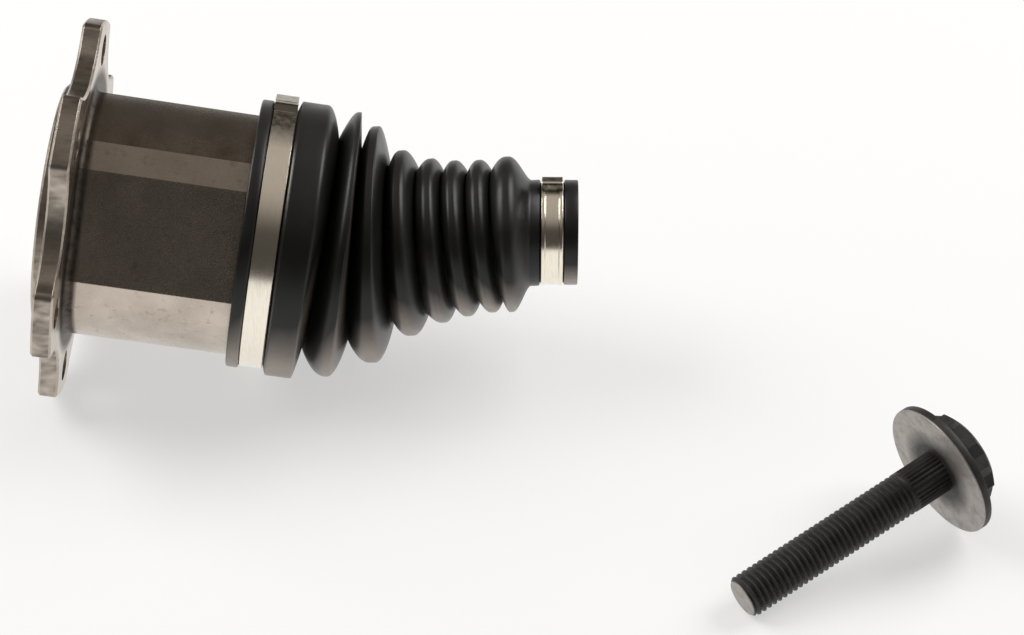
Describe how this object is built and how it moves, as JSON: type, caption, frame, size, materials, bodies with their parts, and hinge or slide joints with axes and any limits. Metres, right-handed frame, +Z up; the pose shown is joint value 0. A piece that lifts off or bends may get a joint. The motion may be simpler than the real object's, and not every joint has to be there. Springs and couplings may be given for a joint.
{
  "type": "drive shaft inner joint",
  "caption": "Flanged triple-roller joint of a drive shaft with its bellows boot clamped on the housing and the bar, and its loose flanged hub bolt.",
  "frame": {"origin": "centre of the joint flange's mounting face", "axes": "+X level along the bar, away from the flange; +Z up; +Y towards the far side. The joint's own axis slopes down by 9.9 degrees from +X"},
  "size_m": [0.3145, 0.1945, 0.1193],
  "materials": {
    "housing_steel": "machined, lightly oiled",
    "zinc_steel": "pressed, zinc plated",
    "seal_rubber": "satin",
    "boot_rubber": "satin, slightly glossy",
    "clamp_steel": "satin stainless",
    "bearing_steel": "ground",
    "spring_steel": "phosphated",
    "bar_steel": "dark, satin",
    "bolt_steel": "phosphated, oiled"
  },
  "bodies": {
    "housing": {"joint_housing": "housing_steel", "end_cap": "zinc_steel", "end_cap_seal": "seal_rubber", "boot": "boot_rubber", "large_clamp": "clamp_steel"},
    "lower_cassettes": {"inner_ring_front": "bearing_steel", "inner_ring_back": "bearing_steel", "needle_rollers_front": "bearing_steel", "needle_rollers_back": "bearing_steel"},
    "top_cassette": {"inner_ring_top": "bearing_steel", "needle_rollers_top": "bearing_steel"},
    "shaft": {"spider": "bearing_steel", "spider_circlip": "spring_steel", "shaft_bar": "bar_steel", "small_clamp": "clamp_steel"},
    "front_roller": {"outer_roller_front": "bearing_steel", "snap_rings_front": "spring_steel"},
    "back_roller": {"outer_roller_back": "bearing_steel", "snap_rings_back": "spring_steel"},
    "top_roller": {"outer_roller_top": "bearing_steel", "snap_rings_top": "spring_steel"},
    "hub_bolt": {"hub_bolt": "bolt_steel"}
  },
  "joints": [
    {"name": "plunge", "type": "slide", "parent": "housing", "child": "lower_cassettes", "axis": [0.9851, 0, -0.1719], "range_m": [-0.012, 0.008], "deforming": ["boot"]},
    {"name": "articulate", "type": "hinge", "parent": "lower_cassettes", "child": "shaft", "pos_m": [0.05186, 0, -0.02275], "axis": [0, 1, 0], "range_deg": [-7, 27], "deforming": ["boot"]},
    {"name": "top_cassette_travel", "type": "slide", "parent": "lower_cassettes", "child": "top_cassette", "axis": [0.9851, 0, -0.1719], "range_m": [-0.00507, 0.019]},
    {"name": "front_roller_spin", "type": "hinge", "parent": "lower_cassettes", "child": "front_roller", "pos_m": [0.05186, -0.02338, -0.02275], "axis": [-0.086, -0.866, -0.4926], "continuous": true},
    {"name": "back_roller_spin", "type": "hinge", "parent": "lower_cassettes", "child": "back_roller", "pos_m": [0.05186, 0.02338, -0.02275], "axis": [-0.086, 0.866, -0.4926], "continuous": true},
    {"name": "top_roller_spin", "type": "hinge", "parent": "top_cassette", "child": "top_roller", "pos_m": [0.05196, 0, 0.01834], "axis": [0.1719, 0, 0.9851], "continuous": true},
    {"name": "hub_bolt_lift", "type": "slide", "parent": "housing", "child": "hub_bolt", "axis": [0, 0, 1], "range_m": [0, 0.12]}
  ],
  "couplings": [
    {"joint": "top_cassette_travel", "follows": "articulate", "m_per_rad": 0.0399}
  ]
}
